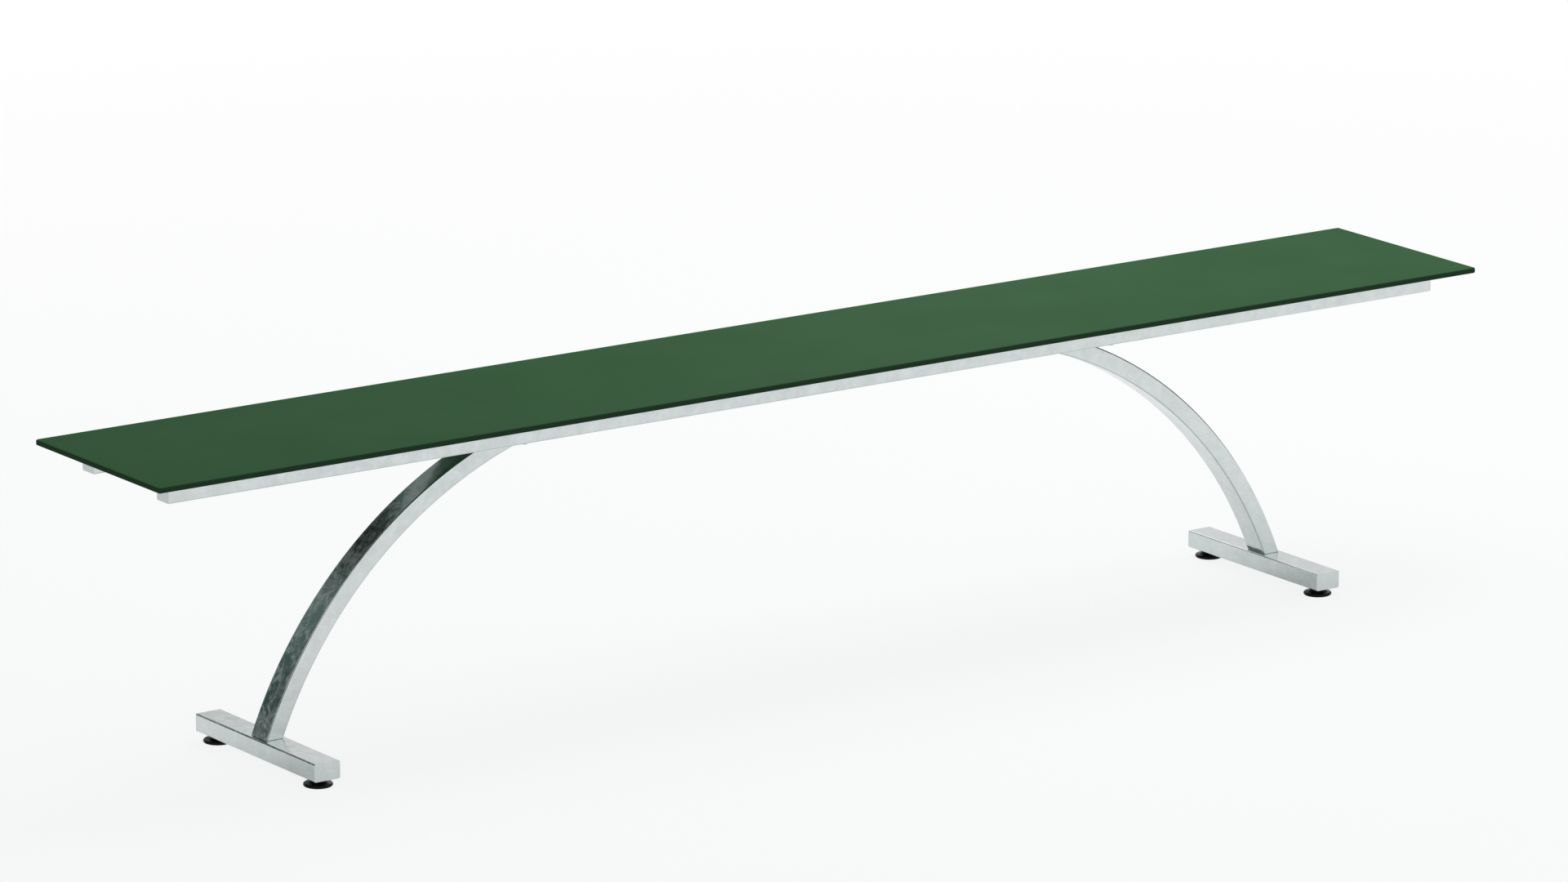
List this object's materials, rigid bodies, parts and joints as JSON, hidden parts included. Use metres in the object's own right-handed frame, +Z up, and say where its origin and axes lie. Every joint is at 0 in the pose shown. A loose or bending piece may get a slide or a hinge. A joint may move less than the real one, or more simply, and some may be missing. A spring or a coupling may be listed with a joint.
{
  "type": "backless bench",
  "caption": "Long backless bench with a slim green laminate board on square rails, carried by curved tube legs on crosswise foot bars with levelling glides.",
  "frame": {"origin": "on the floor, under the middle of the seat", "axes": "+X along the seat, +Y across the seat from front to back, +Z up"},
  "size_m": [2.19, 0.316, 0.45],
  "materials": {
    "laminate": "satin green compact laminate",
    "galvanised": "hot-dip galvanised, soft spangle",
    "black_plastic": "black moulded plastic",
    "zinc_steel": "bright zinc plating"
  },
  "bodies": {
    "frame": {"seat_board": "laminate", "front_rail": "galvanised", "front_rail_left_end_plate": "galvanised", "front_rail_right_end_plate": "galvanised", "back_rail": "galvanised", "back_rail_left_end_plate": "galvanised", "back_rail_right_end_plate": "galvanised", "left_inner_cross_tube": "galvanised", "left_outer_cross_tube": "galvanised", "left_leg": "galvanised", "left_foot_bar": "galvanised", "left_foot_bar_front_end_plate": "galvanised", "left_front_weld_nut": "galvanised", "left_foot_bar_back_end_plate": "galvanised", "left_back_weld_nut": "galvanised", "right_inner_cross_tube": "galvanised", "right_outer_cross_tube": "galvanised", "right_leg": "galvanised", "right_foot_bar": "galvanised", "right_foot_bar_front_end_plate": "galvanised", "right_front_weld_nut": "galvanised", "right_foot_bar_back_end_plate": "galvanised", "right_back_weld_nut": "galvanised", "front_left_seat_bolt": "zinc_steel", "front_right_seat_bolt": "zinc_steel", "front_left_seat_screw": "zinc_steel", "front_middle_seat_screw": "zinc_steel", "front_right_seat_screw": "zinc_steel", "back_left_seat_bolt": "zinc_steel", "back_right_seat_bolt": "zinc_steel", "back_left_seat_screw": "zinc_steel", "back_middle_seat_screw": "zinc_steel", "back_right_seat_screw": "zinc_steel"},
    "left_front_pad": {"left_front_glide_pad": "black_plastic"},
    "left_front_stud": {"left_front_glide_stud": "zinc_steel"},
    "left_back_pad": {"left_back_glide_pad": "black_plastic"},
    "left_back_stud": {"left_back_glide_stud": "zinc_steel"},
    "right_front_pad": {"right_front_glide_pad": "black_plastic"},
    "right_front_stud": {"right_front_glide_stud": "zinc_steel"},
    "right_back_pad": {"right_back_glide_pad": "black_plastic"},
    "right_back_stud": {"right_back_glide_stud": "zinc_steel"}
  },
  "joints": [
    {"name": "left_front_glide_height", "type": "slide", "parent": "frame", "child": "left_front_pad", "axis": [0, 0, -1], "range_m": [0, 0.01]},
    {"name": "left_front_stud_turn", "type": "hinge", "parent": "left_front_pad", "child": "left_front_stud", "pos_m": [-0.84, -0.1265, 0.02], "axis": [0, 0, -1], "range_deg": [0, 2881]},
    {"name": "left_back_glide_height", "type": "slide", "parent": "frame", "child": "left_back_pad", "axis": [0, 0, -1], "range_m": [0, 0.01]},
    {"name": "left_back_stud_turn", "type": "hinge", "parent": "left_back_pad", "child": "left_back_stud", "pos_m": [-0.84, 0.1265, 0.02], "axis": [0, 0, -1], "range_deg": [0, 2881]},
    {"name": "right_front_glide_height", "type": "slide", "parent": "frame", "child": "right_front_pad", "axis": [0, 0, -1], "range_m": [0, 0.01]},
    {"name": "right_front_stud_turn", "type": "hinge", "parent": "right_front_pad", "child": "right_front_stud", "pos_m": [0.84, -0.1265, 0.02], "axis": [0, 0, -1], "range_deg": [0, 2881]},
    {"name": "right_back_glide_height", "type": "slide", "parent": "frame", "child": "right_back_pad", "axis": [0, 0, -1], "range_m": [0, 0.01]},
    {"name": "right_back_stud_turn", "type": "hinge", "parent": "right_back_pad", "child": "right_back_stud", "pos_m": [0.84, 0.1265, 0.02], "axis": [0, 0, -1], "range_deg": [0, 2881]}
  ],
  "couplings": [
    {"joint": "left_front_stud_turn", "follows": "left_front_glide_height", "rad_per_m": 5026.5},
    {"joint": "left_back_stud_turn", "follows": "left_back_glide_height", "rad_per_m": 5026.5},
    {"joint": "right_front_stud_turn", "follows": "right_front_glide_height", "rad_per_m": 5026.5},
    {"joint": "right_back_stud_turn", "follows": "right_back_glide_height", "rad_per_m": 5026.5}
  ]
}
